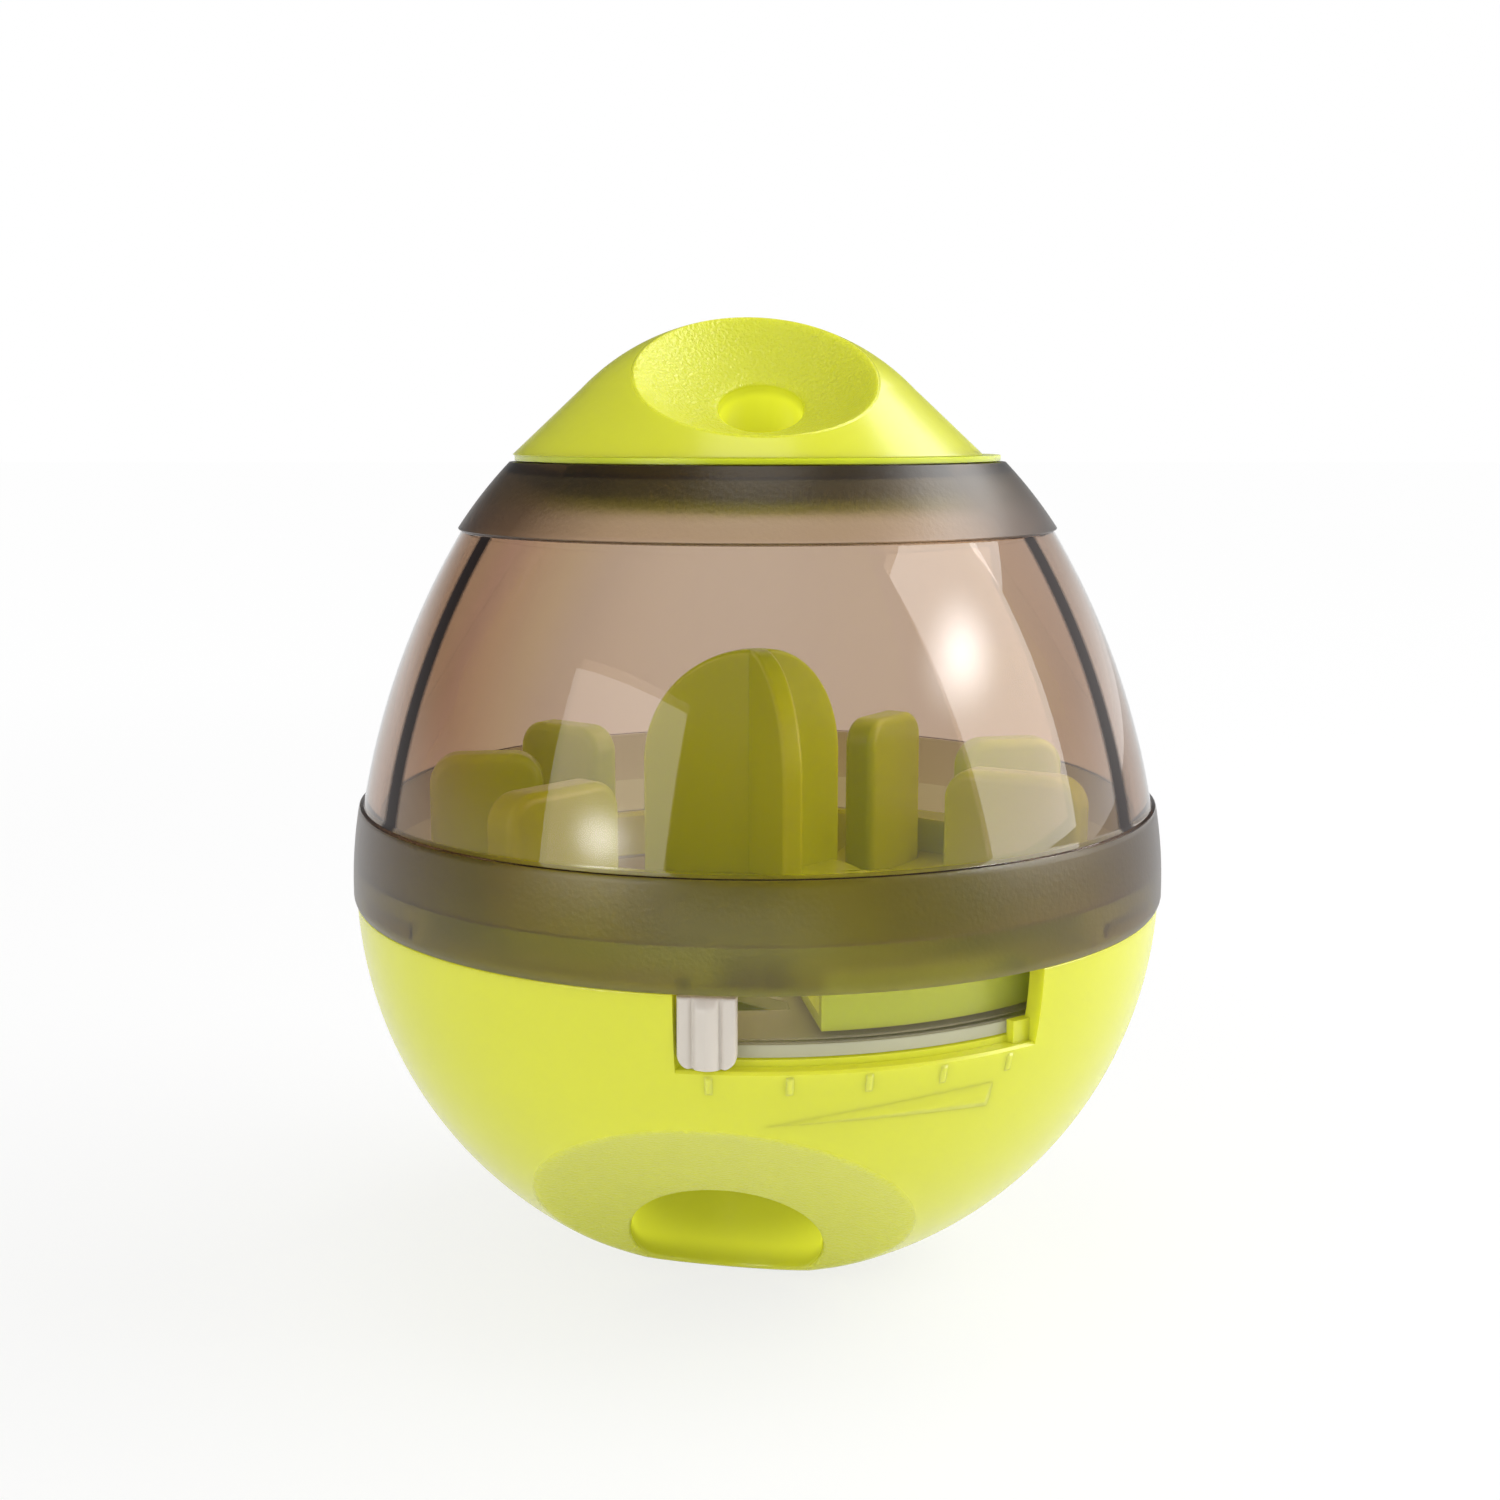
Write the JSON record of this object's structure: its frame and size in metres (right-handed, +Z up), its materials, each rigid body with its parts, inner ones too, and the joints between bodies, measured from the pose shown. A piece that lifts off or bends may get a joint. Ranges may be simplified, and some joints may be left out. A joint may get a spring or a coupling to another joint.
{
  "type": "wobble treat dispenser",
  "caption": "Egg-shaped tumbler for pets: weighted bowl with scooped treat exit, smoked dome over a finned maze, turning gate with slot knob, twist-off cap with filling port.",
  "frame": {"origin": "middle of the flat foot under the bowl, on the floor it stands on", "axes": "+Z up along the axis that gate, dome and cap turn about; -Y the front with selector slot and treat exit; +X to the right seen from the front"},
  "size_m": [0.11, 0.11, 0.1291],
  "materials": {
    "bowl_plastic": "yellow-green, satin gloss, fine orange-peel grain in the scoop",
    "cap_plastic": "yellow-green, satin gloss, fine orange-peel grain in the dish",
    "lid_plastic": "yellow-green, satin gloss",
    "maze_plastic": "yellow-green, satin gloss",
    "tower_plastic": "yellow-green, satin gloss",
    "chute_plastic": "yellow-green, satin gloss",
    "knob_plastic": "warm light grey, satin",
    "smoked_window": "smoked grey-brown clear plastic, glossy; outer band and collar frosted",
    "smoked_tray": "smoked grey-brown clear plastic, glossy",
    "washer_plastic": "natural nylon",
    "screw_steel": "zinc-plated",
    "ballast_iron": "raw casting"
  },
  "bodies": {
    "base": {"bowl": "bowl_plastic", "counterweight": "ballast_iron", "chute_floor": "chute_plastic", "chute_screws": "screw_steel", "maze_plate": "maze_plastic", "centre_tower": "tower_plastic", "pivot_washer": "washer_plastic", "pivot_screw": "screw_steel"},
    "gate": {"gate": "smoked_tray", "knob": "knob_plastic"},
    "dome": {"dome": "smoked_window"},
    "cap": {"lid_ring": "lid_plastic", "cap_shell": "cap_plastic"}
  },
  "joints": [
    {"name": "gate_turn", "type": "hinge", "parent": "base", "child": "gate", "pos_m": [0, 0, 0.0451], "axis": [0, 0, 1], "range_deg": [0, 40]},
    {"name": "dome_turn", "type": "hinge", "parent": "base", "child": "dome", "pos_m": [0, 0, 0.0521], "axis": [0, 0, 1], "range_deg": [0, 24]},
    {"name": "cap_turn", "type": "hinge", "parent": "dome", "child": "cap", "pos_m": [0, 0, 0.1104], "axis": [0, 0, 1], "range_deg": [0, 60]}
  ]
}
